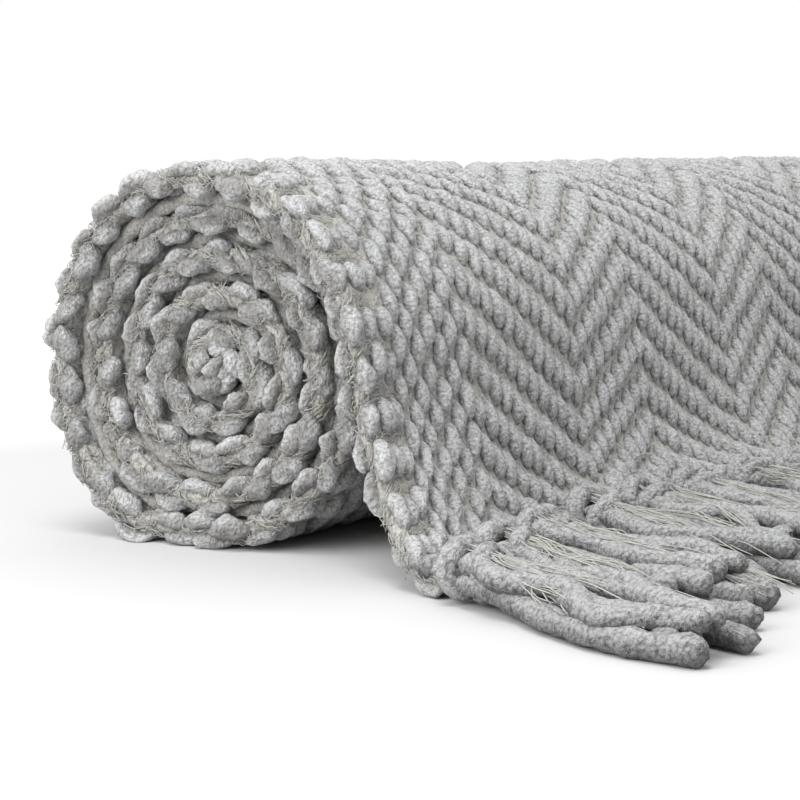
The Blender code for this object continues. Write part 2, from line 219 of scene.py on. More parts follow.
def hang_line(across, shares):
    """The loose end's middle line at a distance across the cloth, as (Y, Z) at shares of its length."""
    rows = DRAPE_SECTIONS
    i = int(np.clip(np.searchsorted(rows[:, 0], across) - 1, 0, len(rows) - 2))
    t = smooth((across - rows[i, 0]) / (rows[i + 1, 0] - rows[i, 0]))
    lift_deg, landing, bend_reach, hem_reach = rows[i, 1:] + (rows[i + 1, 1:] - rows[i, 1:]) * t
    start = LEAVE_DEG - math.degrees(SEAT_GAP / (ROLL_RADIUS - PITCH))
    degrees = np.linspace(start, lift_deg, CURVE_STEPS + 1)
    angle = np.radians(degrees)
    radius = ROLL_RADIUS + PITCH * (LEAVE_DEG - degrees) / 360 - CLOTH / 2
    radius = radius + swell(across - slip(0.0), angle) * (ROLL_RADIUS - PITCH) / ROLL_RADIUS
    arc = np.stack((-radius * np.cos(angle), AXIS_HEIGHT + radius * np.sin(angle)), axis=1)
    lift = arc[-1]
    foot = np.array((-bend_reach, CLOTH / 2))
    chord = np.linalg.norm(foot - lift)
    tilt = math.radians(lift_deg)
    pull_a = lift + np.array((-math.sin(tilt), -math.cos(tilt))) * chord * BEND_START
    pull_b = foot + np.array((1.0, 0.0)) * chord * landing
    t = np.linspace(0, 1, CURVE_STEPS + 1)[1:, None]
    bend = (lift * (1 - t) ** 3 + pull_a * 3 * t * (1 - t) ** 2
            + pull_b * 3 * t * t * (1 - t) + foot * t ** 3)
    line = np.concatenate((arc, bend, [(-hem_reach, CLOTH / 2)]))
    lengths = np.concatenate(([0.0], np.cumsum(np.linalg.norm(np.diff(line, axis=0), axis=1))))
    return np.stack([np.interp(shares * lengths[-1], lengths, line[:, k]) for k in (0, 1)], axis=1)


class Cloth:
    """The cloth's middle surface and its outward normals, kept on a grid."""

    def __init__(self):
        self.start = -ALONG_STEP * round(-along_at(SEEN_TURNS) / ALONG_STEP)
        self.along = np.arange(self.start, HANG + ALONG_STEP / 2, ALONG_STEP)
        self.across = np.arange(-OVERHANG, WIDTH + OVERHANG + ACROSS_STEP / 2, ACROSS_STEP)
        rolled = self.along < -ALONG_STEP / 2
        points = np.zeros((len(self.along), len(self.across), 3))
        turn = turn_at(self.along[rolled])[:, None]
        x = -WIDTH / 2 + self.across[None, :] - slip(turn)
        y, z = spiral(turn, x + WIDTH / 2, CLOTH / 2)
        points[rolled] = np.stack((x, y, z), axis=2)
        down = self.along[~rolled] / HANG
        for j, across in enumerate(self.across):
            line = hang_line(min(WIDTH, max(0.0, across)), down)
            hanging = smooth((down - FOLD_IN[0]) / FOLD_IN[1]) * smooth((1 - down) / FOLD_OUT)
            fold = FOLD_HEIGHT * hanging * math.sin(2 * math.pi * FOLD_WAVES * across / WIDTH + FOLD_PHASE)
            corner = smooth((down - CORNER_START) / (1 - CORNER_START))
            corner = math.exp(-(across / CORNER_REACH) ** 2) * corner
            x = -WIDTH / 2 + across - slip(0.0) - SLIP_HANG * smooth(down / SLIP_HANG_SHARE)
            y = line[:, 0] - fold - CORNER_FORWARD * corner
            points[~rolled, j] = np.stack((x - CORNER_OUT * corner, y, line[:, 1]), axis=1)
        self.points = points + SHIFT
        normals = np.cross(np.gradient(points, axis=0), np.gradient(points, axis=1))
        self.normals = normals / np.linalg.norm(normals, axis=2, keepdims=True)

    def at(self, across, along, height):
        """Points on or over the cloth, as an array of rows."""
        row = (np.asarray(along) - self.start) / ALONG_STEP
        column = (np.asarray(across) + OVERHANG) / ACROSS_STEP
        i = np.clip(row.astype(int), 0, len(self.along) - 2)
        j = np.clip(column.astype(int), 0, len(self.across) - 2)
        u, v = (row - i)[..., None], (column - j)[..., None]

        def between(grid):
            return ((grid[i, j] * (1 - v) + grid[i, j + 1] * v) * (1 - u)
                    + (grid[i + 1, j] * (1 - v) + grid[i + 1, j + 1] * v) * u)

        normal = between(self.normals)
        normal /= np.linalg.norm(normal, axis=-1, keepdims=True)
        return between(self.points) + normal * np.asarray(height)[..., None]


cloth = Cloth()


class Gather:
    """Vertices and triangles gathered for one piece, with the values that its material reads."""

    def __init__(self):
        self.points, self.faces, self.light, self.tone = [], [], [], []
        self.count = 0

    def add(self, points, faces, light, tone):
        points[:, 2] = np.maximum(points[:, 2], FLOOR_GAP)
        self.points.append(points)
        self.faces.append(faces + self.count)
        self.light.append(np.broadcast_to(light, len(points)))
        self.tone.append(np.broadcast_to(tone, len(points)))
        self.count += len(points)

    def build(self, name, material, slot):
        """The gathered mesh as one piece of the scene, on the throw's only body."""
        points = np.concatenate(self.points)
        faces = np.concatenate(self.faces)
        mesh = bpy.data.meshes.new(name)
        mesh.vertices.add(len(points))
        mesh.vertices.foreach_set("co", points.astype(np.float32).ravel())
        mesh.loops.add(3 * len(faces))
        mesh.loops.foreach_set("vertex_index", faces.astype(np.int32).ravel())
        mesh.polygons.add(len(faces))
        mesh.polygons.foreach_set("loop_start", np.arange(0, 3 * len(faces), 3, dtype=np.int32))
        for label, values in (("light", self.light), ("tone", self.tone)):
            attribute = mesh.attributes.new(label, "FLOAT", "POINT")
            attribute.data.foreach_set("value", np.concatenate(values).astype(np.float32))
        mesh.update(calc_edges=True)
        mesh.shade_smooth()
        mesh.materials.append(material)
        piece = bpy.data.objects.new(name, mesh)
        bpy.context.scene.collection.objects.link(piece)
        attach(piece, "root")
        return piece


# Floats: each yarn shows as a plump oval on one face, and its ends dip under the next threads
FLOAT_TOP = 0.0068
FLOATS = {
    # length, width, thickness, dip of the ends: in the twill, in the selvedges and on the wound layers
    "twill": (0.0176, 0.0076, 0.0060, 0.0017),
    "selvedge": (0.0152, 0.0092, 0.0064, 0.0020),
    "wound": (0.0158, 0.0098, 0.0076, 0.0016),
}
FLOAT_SPREAD = (0.07, 0.06, 0.08, 0.2)  # how far each of those four may be off, as a share
FLOAT_SKEW = 0.0007
FLOAT_TILT = 0.0004     # each float's lower end stands a little higher
TOP_JITTER = 0.00026
SKEW_JITTER = 0.0005
PLACE_JITTER = 0.0003
ALONG_JITTER = 0.0006
FLOAT_LUMPS = (
    # size, and how fast the wave turns around the float and along it
    (0.05, 2, 3),
    (0.04, 3, -4),
    (0.04, 0, 7),
)
CLUMPS = 0.038
RIM_WILDNESS = 2.2      # the outermost floats are the least even
RIM_REACH = 1.6         # columns
RIM_LUMPS = 1.6
WILDEST_SIZES = 2.5
SHADE_HEIGHT = 0.0015   # over the cloth's middle surface, under which a float's pile is in the shade
SPINDLE_TAPER = 2.1
SPINDLE_ROUNDNESS = 0.92  # under 1, a float's section is a little square
FLOAT_TEMPLATES = {
    # rings, points around
    "fine": (9, 12),
    "middle": (7, 10),
    "coarse": (5, 8),
    "rough": (4, 8),
}


def spindle(rings, around):
    """A closed spindle: its vertices' places along it, offsets across and angles, and its triangles."""
    places = -np.cos(math.pi * np.arange(1, rings + 1) / (rings + 1))
    girth = np.sqrt(1 - np.abs(places) ** SPINDLE_TAPER)
    angles = 2 * math.pi * np.arange(around) / around
    circle = np.stack((np.cos(angles), np.sin(angles)))
    cross = np.abs(circle) ** SPINDLE_ROUNDNESS * np.sign(circle)
    u = np.concatenate(([-1.0], np.repeat(places, around), [1.0]))
    wide = np.concatenate(([0.0], np.outer(girth, cross[0]).ravel(), [0.0]))
    high = np.concatenate(([0.0], np.outer(girth, cross[1]).ravel(), [0.0]))
    theta = np.concatenate(([0.0], np.tile(angles, rings), [0.0]))
    return u, wide, high, theta, tube_faces(rings, around)


def tube_faces(rings, around):
    """Triangles of a tube of rings closed by a first and a last point."""
    faces = []
    last = rings * around + 1
    for k in range(around):
        m = (k + 1) % around
        faces.append((0, 1 + m, 1 + k))
        faces.append((last, last - around + k, last - around + m))
        for ring in range(rings - 1):
            a, b = 1 + ring * around + k, 1 + ring * around + m
            faces.append((a, b, b + around))
            faces.append((a, b + around, a + around))
    return np.array(faces)


def column_layout():
    """Each column's place across the cloth, its offset along it in repeats, and its diagonals' way."""
    inner = COLUMNS - 2 * SELVEDGE - 2 * FIRST_ZONE
    shifts = []
    while len(shifts) < inner:
        columns, shift = ZONES[1 if shifts and shifts[-1] > 0 else 0]
        shifts += [shift] * columns
    plain = [0.0] * SELVEDGE
    first = [FIRST_SHIFT] * FIRST_ZONE
    last = [-FIRST_SHIFT] * FIRST_ZONE
    shifts = np.array(plain + first + shifts[:inner] + last + plain)
    widths = np.full(COLUMNS, COLUMN)
    bound = SELVEDGE + FIRST_ZONE
    widths[:bound] = widths[-bound:] = FIRST_COLUMN
    widths[:SELVEDGE] = widths[-SELVEDGE:] = SELVEDGE_COLUMN
    return np.cumsum(widths) - widths / 2, np.cumsum(shifts), np.sign(shifts)


PLACES, PHASES, WAYS = column_layout()


def drift(across, along):
    """How far the columns have slid sideways: the loose end hangs slightly askew."""
    hold = smooth(across / LEAN_NEAR) * (1 - smooth((across - LEAN_FAR[0]) / LEAN_FAR[1]))
    return -LEAN * np.maximum(along - LEAN_START, 0.0) * hold


def float_places(columns, start, end, side):
    """Columns and distances along the cloth of the floats of some columns, on one face of it."""
    rows = np.arange(math.floor(start / REPEAT) - 2, math.ceil(end / REPEAT) + 1)
    column, row = (grid.ravel() for grid in np.meshgrid(columns, rows))
    along = (row + PHASES[column] % 1 + (0.5 if side < 0 else 0.0)) * REPEAT
    keep = (along >= start) & (along < end)
    return column[keep], along[keep]


def add_floats(gather, columns, start, end, side, template, rng, edge="selvedge"):
    """The floats of some columns between two distances along the cloth, on one face of it."""
    column, along = float_places(columns, start, end, side)
    count = len(column)
    u, wide, high, theta, faces = spindle(*FLOAT_TEMPLATES[template])
    plain = (column < SELVEDGE) | (column >= COLUMNS - SELVEDGE)
    sizes = np.where(plain[:, None], FLOATS[edge], FLOATS["twill"])
    rim = np.exp(-np.minimum(column, COLUMNS - 1 - column) / RIM_REACH)[:, None]
    wild = 1 + RIM_WILDNESS * rim
    uneven = rng.uniform(-1, 1, (count, len(FLOAT_SPREAD)))
    spread = 1 + np.array(FLOAT_SPREAD) * uneven * np.minimum(wild, WILDEST_SIZES)
    length, width, thickness, dip = (sizes * spread).T[..., None]
    top = FLOAT_TOP + rng.normal(0, TOP_JITTER, count)[:, None] * wild
    skew = FLOAT_SKEW * WAYS[column][:, None] + rng.normal(0, SKEW_JITTER, count)[:, None] * wild
    centre = PLACES[column][:, None] + rng.normal(0, PLACE_JITTER, count)[:, None] * wild
    middle = along[:, None] + rng.normal(0, ALONG_JITTER, count)[:, None] * wild
    phases = rng.uniform(0, 2 * math.pi, (4, count, 1))  # the last is spare
    lump = sum(size * np.sin(around * theta + ahead * u + phase)
               for (size, around, ahead), phase in zip(FLOAT_LUMPS, phases))
    lump = 1 + lump * (1 + RIM_LUMPS * rim) + rng.normal(0, CLUMPS, (count, len(u)))
    ahead = middle + length / 2 * u
    across = centre + skew * u + width / 2 * wide * lump
    across = across + drift(across, ahead)
    rise = top - thickness / 2 - dip * u ** 2 + FLOAT_TILT * u + thickness / 2 * high * lump
    points = cloth.at(across, ahead, side * rise)
    offsets = np.arange(count)[:, None, None] * len(u)
    # painted shade: darker where a float dips low between its neighbours, lightest on its crest
    light = np.clip((rise - SHADE_HEIGHT) / (FLOAT_TOP - SHADE_HEIGHT), 0, 1)
    if side > 0:
        faces = faces[:, ::-1]
    tone = np.repeat(rng.uniform(0, 1, count), len(u))
    gather.add(points.reshape(-1, 3), (faces[None] + offsets).reshape(-1, 3), light.ravel(), tone)


# Materials. Each piece gives "light", painted shade at 0 deep between the yarns up to painted light at 1 on a
# crest, and "tone", 0 to 1
PILE_SHADER = {"Roughness": 1.0, "Specular IOR Level": 0.12, "Sheen Weight": 0.22, "Sheen Roughness": 0.6}
THREAD_SHADER = {"Roughness": 0.9, "Specular IOR Level": 0.2, "Sheen Weight": 0.12}
FIBRE_SCALE = 2400
PATCH_SCALE = 38
TUFT_SCALE = 0.66       # of the clumps' scale
TUFT_DOMES = (0.0, 1.0, 0.95, 0.05)
CLUMP_SHARE = 0.40
FIBRE_SHARE = 0.28
TUFT_SHARE = 0.32
# light values over which the painted shade lifts, and the grain and light values that bring in the painted
# light on the crests
BODY_LIGHT = (0.26, 0.95)
FIBRE_TIPS = (0.36, 0.56)
TIPS_LIGHT = (0.1, 0.75, 0.35, 1.0)
PILE_TONES = (0.0, 1.0, 0.95, 1.03)
PATCH_TONES = (0.3, 0.7, -0.03, 0.03)
SPUN_SCALE = 1300
SPUN_RANGE = (0.36, 0.64)
SPUN_SHARE = 0.4
SPUN_BUMP = (0.7, 0.0003)


class Look:
    """A material's nodes: each method adds one and gives the socket to read."""

    def __init__(self, name, constants):
        self.material = bpy.data.materials.new(name)
        self.material.use_nodes = True
        self.nodes = self.material.node_tree.nodes
        self.shader = self.nodes["Principled BSDF"]
        self.put(self.shader, constants)
        self.where = self.nodes.new("ShaderNodeTexCoord").outputs["Object"]

    def put(self, node, values):
        """Set inputs of a node to numbers or tuples, or link other sockets to them."""
        for label, value in values.items():
            socket = node.inputs[label]
            if isinstance(value, (int, float)):
                socket.default_value = value
            elif isinstance(value, tuple):
                socket.default_value = (*value, 1.0)[:len(socket.default_value)]
            else:
                self.material.node_tree.links.new(value, socket)

    def read(self, label):
        node = self.nodes.new("ShaderNodeAttribute")
        node.attribute_name = label
        return node.outputs["Fac"]

    def noise(self, scale, detail, roughness=0.6):
        node = self.nodes.new("ShaderNodeTexNoise")
        self.put(node, {"Vector": self.where, "Scale": scale, "Detail": detail, "Roughness": roughness})
        return node.outputs["Fac"]

    def cells(self, scale):
        node = self.nodes.new("ShaderNodeTexVoronoi")
        self.put(node, {"Vector": self.where, "Scale": scale})
        return node.outputs["Distance"]

    def scaled(self, value, low, high, to_low=0.0, to_high=1.0):
        node = self.nodes.new("ShaderNodeMapRange")
        self.put(node, {"Value": value, "From Min": low, "From Max": high,
                        "To Min": to_low, "To Max": to_high})
        return node.outputs["Result"]

    def math(self, operation, a, b):
        node = self.nodes.new("ShaderNodeMath")
        node.operation = operation
        self.put(node, {0: a, 1: b})
        return node.outputs["Value"]

    def weighed(self, *parts):
        """The sum of some values, each times its own share."""
        values = [self.math("MULTIPLY", value, share) for value, share in parts]
        total = values[0]
        for value in values[1:]:
            total = self.math("ADD", total, value)
        return total

    def mix(self, a, b, factor, blend="MIX"):
        node = self.nodes.new("ShaderNodeMix")
        node.data_type = "RGBA"
        node.blend_type = blend
        self.put(node, {"A": a, "B": b, "Factor": factor})
        return node.outputs["Result"]

    def finish(self, colour, height, strength, distance):
        """The shader's colour and bump. Gives the material."""
        node = self.nodes.new("ShaderNodeBump")
        self.put(node, {"Height": height, "Strength": strength, "Distance": distance})
        self.put(self.shader, {"Base Color": colour, "Normal": node.outputs["Normal"]})
        return self.material


def chenille(name, crease_shade, shade, lit, pile_depth, clump_scale=980):
    """Velvety pile: painted shade between the yarns, painted light on their crests, with short fibres in
    small tufts.
    """
    look = Look(name, PILE_SHADER)
    clumps = look.noise(clump_scale, 1.5)
    fibres = look.noise(FIBRE_SCALE, 1.5, 0.7)
    tufts = look.scaled(look.cells(TUFT_SCALE * clump_scale), *TUFT_DOMES)
    pile = look.weighed((clumps, CLUMP_SHARE), (fibres, FIBRE_SHARE), (tufts, TUFT_SHARE))
    light = look.read("light")
    # painted shade: darkest deep between the yarns, lifting towards the crests
    body = look.mix(crease_shade, shade, look.scaled(light, *BODY_LIGHT))
    # painted light on the crests, broken up by the grain of the fibres
    lit_fibre_tips = look.math("MULTIPLY", look.scaled(pile, *FIBRE_TIPS), look.scaled(light, *TIPS_LIGHT))
    tone = look.math("ADD", look.scaled(look.read("tone"), *PILE_TONES),
                     look.scaled(look.noise(PATCH_SCALE, 2.0), *PATCH_TONES))
    return look.finish(look.mix(look.mix(body, lit, lit_fibre_tips), tone, 1.0, "MULTIPLY"), pile, 1.0, pile_depth)


def thread(name, dark, pale):
    """Thin spun yarn, unevenly toned."""
    look = Look(name, THREAD_SHADER)
    spun = look.scaled(look.noise(SPUN_SCALE, 2.0), *SPUN_RANGE)
    mixed = look.weighed((look.read("tone"), 1 - SPUN_SHARE), (spun, SPUN_SHARE))
    return look.finish(look.mix(dark, pale, mixed), spun, *SPUN_BUMP)


# Each pile: painted shade deep between the yarns, then shade, then painted light on the crests
PILE = chenille("chenille_pile", crease_shade=(0.15, 0.142, 0.132), shade=(0.29, 0.292, 0.289),
                lit=(0.52, 0.527, 0.527), pile_depth=0.0043, clump_scale=880)
STRAND_PILE = chenille("strand_pile", crease_shade=(0.035, 0.033, 0.031), shade=(0.22, 0.220, 0.217),
                       lit=(0.45, 0.456, 0.456), pile_depth=0.0060, clump_scale=820)
GROUND = chenille("ground_fuzz", crease_shade=(0.18, 0.171, 0.154), shade=(0.29, 0.282, 0.260),
                  lit=(0.47, 0.462, 0.435), pile_depth=0.0022)
THREAD = thread("beige_threads", dark=(0.27, 0.265, 0.242), pale=(0.44, 0.437, 0.408))


# Ground cloth: the thin woven threads between the two chenille faces
GROUND_HALF = 0.0031
GROUND_INSET = 0.0065
GROUND_ACROSS = 44
GROUND_ALONG = 190
# painted shade: the ground cloth between the two faces is kept in part shade
GROUND_LIGHT = 0.62
GROUND_TONE = 0.4
# Distance in from the edge, height, half width and half height of the fuzz of ground threads along the
# edges, between the two faces' floats, and of the pile pressed together between two wound layers
EDGE_MAT = (0.0056, 0.0, 0.0026, 0.0034)
PACKED_MAT = (0.0132, -0.5 * PITCH, 0.0036, 0.0030)
# painted shade of the bands, the pile pressed between two wound layers the darkest
MAT_LIGHT = 0.5
PACKED_LIGHT = 0.22
MAT_TONE = 0.6
MAT_ROUGHNESS = 0.10
MAT_STEP = 0.0030
MAT_AROUND = 10
MAT_END = 0.002         # short of the hem


def make_ground():
    across = np.linspace(GROUND_INSET, WIDTH - GROUND_INSET, GROUND_ACROSS + 1)
    along = np.linspace(cloth.start, HANG, GROUND_ALONG + 1)
    grid_along, grid_across = np.meshgrid(along, across, indexing="ij")
    sides = [cloth.at(grid_across, grid_along, side * GROUND_HALF) for side in (1, -1)]
    points = np.concatenate([side.reshape(-1, 3) for side in sides])
    row = GROUND_ACROSS + 1
    back = (GROUND_ALONG + 1) * row
    faces = []

    def quad(a, b, c, d):
        faces.extend(((a, b, c), (a, c, d)))

    def rim_quad(a, step, turned):
        corners = (a, a + back, a + back + step, a + step)
        quad(*(corners[::-1] if turned else corners))

    for i in range(GROUND_ALONG):
        for j in range(GROUND_ACROSS):
            a = i * row + j
            quad(a, a + row, a + row + 1, a + 1)
            quad(back + a, back + a + 1, back + a + row + 1, back + a + row)
        rim_quad(i * row, row, False)
        rim_quad(i * row + GROUND_ACROSS, row, True)
    for j in range(GROUND_ACROSS):
        rim_quad(j, 1, True)
        rim_quad(GROUND_ALONG * row + j, 1, False)
    gather = Gather()
    gather.add(points, np.array(faces), GROUND_LIGHT, GROUND_TONE)
    return gather.build("ground_cloth", GROUND, "chenille")


def add_mat(gather, near, end, sizes, light, rng):
    """A rough oval band along an edge of the cloth."""
    middle, high_middle, wide, high = sizes
    along = np.arange(cloth.start, end, MAT_STEP if near else 2 * MAT_STEP)
    angles = 2 * math.pi * np.arange(MAT_AROUND) / MAT_AROUND
    rough = 1 + rng.normal(0, MAT_ROUGHNESS, (len(along), MAT_AROUND))
    place = middle - wide * np.cos(angles) * rough
    height = high_middle + high * np.sin(angles) * rough
    rings = cloth.at(place if near else WIDTH - place, np.repeat(along[:, None], MAT_AROUND, axis=1), height)
    ends = [rings[k].mean(axis=0, keepdims=True) for k in (0, -1)]
    points = np.concatenate((ends[0], rings.reshape(-1, 3), ends[1]))
    faces = tube_faces(len(along), MAT_AROUND)
    gather.add(points, faces if near else faces[:, ::-1], light, MAT_TONE)


def make_mat(name, near, rng):
    gather = Gather()
    add_mat(gather, near, HANG - MAT_END, EDGE_MAT, MAT_LIGHT, rng)
    add_mat(gather, near, 0.0, PACKED_MAT, PACKED_LIGHT, rng)
    return gather.build(name, GROUND, "chenille")


ground = make_ground()
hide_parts("roll", "loose_end")

rng = np.random.default_rng(SEED)
WOVEN_TURNS = 0.70      # of the outer face, round the back to under the loose end
UNDER_FLAP = along_at(WOVEN_TURNS)
LAST_ROW = HANG + 0.3 * REPEAT
WEAVES = (
    # name, first column, the one after the last, template
    ("weave_near", 0, 10, "fine"),
    ("weave_middle", 10, 50, "middle"),
    ("weave_far_a", 50, 108, "coarse"),
    ("weave_far_b", 108, COLUMNS, "rough"),
)
EDGES = (
    # on the inner layers only the columns near the edges are seen
    ("edge_near", ((0, 2, "fine"), (2, 4, "coarse"))),
    ("edge_far", ((COLUMNS - 3, COLUMNS, "coarse"),)),
)
pieces = [make_mat("edge_fuzz_near", True, rng), make_mat("edge_fuzz_far", False, rng)]
for name, first, last, template in WEAVES:
    gather = Gather()
    add_floats(gather, np.arange(first, last), UNDER_FLAP, LAST_ROW, 1, template, rng)
    pieces.append(gather.build(name, PILE, "chenille"))
for name, groups in EDGES:
    gather = Gather()
    for first, last, template in groups:
        columns = np.arange(first, last)
        add_floats(gather, columns, cloth.start, UNDER_FLAP, 1, template, rng, "wound")
        add_floats(gather, columns, cloth.start, 0.0, -1, template, rng, "wound")
        add_floats(gather, columns, 0.0, HANG, -1, template, rng)
    pieces.append(gather.build(name, PILE, "chenille"))


# The eye of the spiral on each end is filled by the cloth's first tangled floats
EYE_FLOATS = (
    # place out from the eye's centre, angle of that place and of the float, both in degrees
    (0.0015, 200, 35),
    (0.0070, 20, 95),
    (0.0068, 95, 10),
    (0.0072, 165, 70),
    (0.0066, 240, 150),
    (0.0074, 310, 40),
)
EYE_FLOAT = (0.0112, 0.0068, 0.0066)
EYE_SIZES = (0.88, 1.08)
EYE_LUMP = 0.09
EYE_DEPTH = 0.0042
EYE_DOME = 0.5 / 0.0070  # the further out, the deeper in
EYE_TURN = SEEN_TURNS - 0.4
EYE_LIGHT = 0.46
EYE_CREST_LIGHT = 0.34


def make_eye(rng):
    gather = Gather()
    u, wide, high, theta, faces = spindle(*FLOAT_TEMPLATES["fine"])
    for near in (True, False):
        edge = (-WIDTH / 2 if near else WIDTH / 2) - slip(EYE_TURN)
        inward = EYE_DEPTH if near else -EYE_DEPTH
        for out, place_deg, float_deg in EYE_FLOATS:
            place, aslant = math.radians(place_deg), math.radians(float_deg)
            length, width, thickness = np.array(EYE_FLOAT) * rng.uniform(*EYE_SIZES, 3)
            lump = 1 + EYE_LUMP * np.sin(2 * theta + 3 * u + rng.uniform(0, 6))
            lump = lump + rng.normal(0, 2 * CLUMPS, len(u))
            ahead, aside = length / 2 * u, width / 2 * wide * lump
            x = edge + inward * (1.0 + EYE_DOME * out) + thickness / 2 * high * lump
            y = out * math.cos(place) + ahead * math.cos(aslant) - aside * math.sin(aslant)
            z = AXIS_HEIGHT + out * math.sin(place) + ahead * math.sin(aslant) + aside * math.cos(aslant)
            # painted light on the side of each float that faces out of the roll's end, painted shade on the
            # side turned in
            light = EYE_LIGHT + EYE_CREST_LIGHT * (-high if near else high)
            gather.add(np.stack((x, y, z), axis=1) + SHIFT, faces, light, rng.uniform(0, 1))
    return gather.build("eye_floats", PILE, "chenille")


pieces.append(make_eye(rng))


# Tubes, for yarns and threads
def tube(path, radius, around, up=(0.0, 0.0, 1.0), closed=False):
    """Points and triangles of a round tube along a path, closed at both ends or into a ring."""
    path = np.asarray(path, float)
    if closed:
        ahead = np.roll(path, -1, axis=0) - np.roll(path, 1, axis=0)
    else:
        ahead = np.gradient(path, axis=0)
    ahead /= np.linalg.norm(ahead, axis=1, keepdims=True)
    side = np.cross(ahead, np.broadcast_to(np.asarray(up, float), path.shape))
    side /= np.linalg.norm(side, axis=1, keepdims=True)
    over = np.cross(side, ahead)
    angles = 2 * math.pi * np.arange(around) / around
    radius = np.broadcast_to(np.asarray(radius, float), (len(path),))
    rings = path[:, None] + radius[:, None, None] * (
        side[:, None] * np.cos(angles)[None, :, None] + over[:, None] * np.sin(angles)[None, :, None])
    if not closed:
        points = np.concatenate(([path[0]], rings.reshape(-1, 3), [path[-1]]))
        return points, tube_faces(len(path), around)[:, ::-1]
    faces = []
    for ring in range(len(path)):
        for k in range(around):
            m, after = (k + 1) % around, (ring + 1) % len(path)
            a, b = ring * around + k, ring * around + m
            c, d = after * around + m, after * around + k
            faces += [(a, c, b), (a, d, c)]
    return rings.reshape(-1, 3), np.array(faces)


# Bare threads at the edges: where the selvedge yarns dip together, crinkled thin threads cross them
THREAD_RADIUS = 0.00019
THREAD_SIDES = 3
FAR_THREADS = 3         # the far edge has one thread for each three of the near one's
BAND_THREADS = 9
BAND_POINTS = 13
BAND_SPREAD = 0.0050
BAND_ROW_SPREAD = 0.08  # repeats
BAND_REACH = 0.028
BAND_REACHES = (0.3, 1.0)
BAND_HEIGHT = 0.0040
BAND_RISE = (0.5, 1.05, 1.1, 0.0, -1.0)
BAND_TURN = (0.55, 0.75)  # where a thread turns over the edge, as a share of its length
BAND_TURNING = 0.12
BAND_EDGE = (0.0022, 0.0016)
BAND_BACK = (0.003, 0.010)
BAND_CRINKLES = (0.0007, 0.0004)  # along the cloth, and in height
FUZZ = 1700
FUZZ_POINTS = 5
FUZZ_LENGTH = (0.0030, 0.0065)
FUZZ_FROM = 0.01        # from the cloth's start
FUZZ_TO = 0.004         # short of the hem
FUZZ_SLANT = 0.7        # radians
FUZZ_PLACE = 0.0029
FUZZ_SPREAD = (-0.0012, 0.0016)
FUZZ_BOW = 0.0012
FUZZ_HEIGHT = 0.0030
FUZZ_CRINKLES = (0.00035, 0.0004)  # across the cloth, and in height
FUZZ_TONE = 0.8


def add_fuzz(gather, near, rng):
    """Short crinkled ends of the ground threads, in a line between the two faces along an edge."""
    count = FUZZ if near else FUZZ // FAR_THREADS
    t = np.linspace(0, 1, FUZZ_POINTS)
    for middle in rng.uniform(cloth.start + FUZZ_FROM, HANG - FUZZ_TO, count):
        length = rng.uniform(*FUZZ_LENGTH)
        slant = rng.normal(0, FUZZ_SLANT)
        across = FUZZ_PLACE + rng.uniform(*FUZZ_SPREAD) - FUZZ_BOW * np.sin(math.pi * t)
        across = across + rng.normal(0, FUZZ_CRINKLES[0], FUZZ_POINTS)
        height = rng.uniform(-FUZZ_HEIGHT, FUZZ_HEIGHT) + length * (t - 0.5) * math.sin(slant)
        height = height + rng.normal(0, FUZZ_CRINKLES[1], FUZZ_POINTS)
        along = middle + length * (t - 0.5) * math.cos(slant)
        path = cloth.at(across if near else WIDTH - across, along, height)
        up = path - path.mean(axis=0) + (0.002, 0.0, 0.01)
        points, faces = tube(path, THREAD_RADIUS, THREAD_SIDES, up=up)
        gather.add(points, faces, 1.0, rng.uniform(0, FUZZ_TONE))


def make_bands(name, near, rng):
    """The fuzz of an edge, and threads that run out to it, turn over it and end on the back."""
    gather = Gather()
    add_fuzz(gather, near, rng)
    t = np.linspace(0, 1, BAND_POINTS)
    for row in range(math.ceil(cloth.start / REPEAT), REPEATS):
        for _ in range(BAND_THREADS if near else BAND_THREADS // FAR_THREADS):
            middle = (row + 0.5 + rng.uniform(-BAND_ROW_SPREAD, BAND_ROW_SPREAD)) * REPEAT
            middle = middle + rng.uniform(-0.5, 0.5) * BAND_SPREAD
            reach = BAND_REACH * rng.uniform(*BAND_REACHES)
            back = rng.uniform(*BAND_BACK)
            turn = rng.uniform(*BAND_TURN)
            across = np.interp(t, (0, turn, turn + BAND_TURNING, 1), (reach, *BAND_EDGE, back))
            height = BAND_HEIGHT * np.interp(t, (0, 0.15, turn - 0.1, turn + BAND_TURNING, 1), BAND_RISE)
            drift_back = REPEAT * 0.5 * smooth((t - turn + 0.2) / 0.5)
            crinkle = rng.normal(0, BAND_CRINKLES[0], BAND_POINTS)
            height = height + rng.normal(0, BAND_CRINKLES[1], BAND_POINTS)
            path = cloth.at(across if near else WIDTH - across, middle + drift_back + crinkle, height)
            up = path - path.mean(axis=0) + (0.0, 0.0, 0.01)
            points, faces = tube(path, THREAD_RADIUS, THREAD_SIDES, up=up)
            gather.add(points, faces, 1.0, rng.uniform(0, 1))
    return gather.build(name, THREAD, "chenille")


pieces.append(make_bands("threads_near", True, rng))
pieces.append(make_bands("threads_far", False, rng))


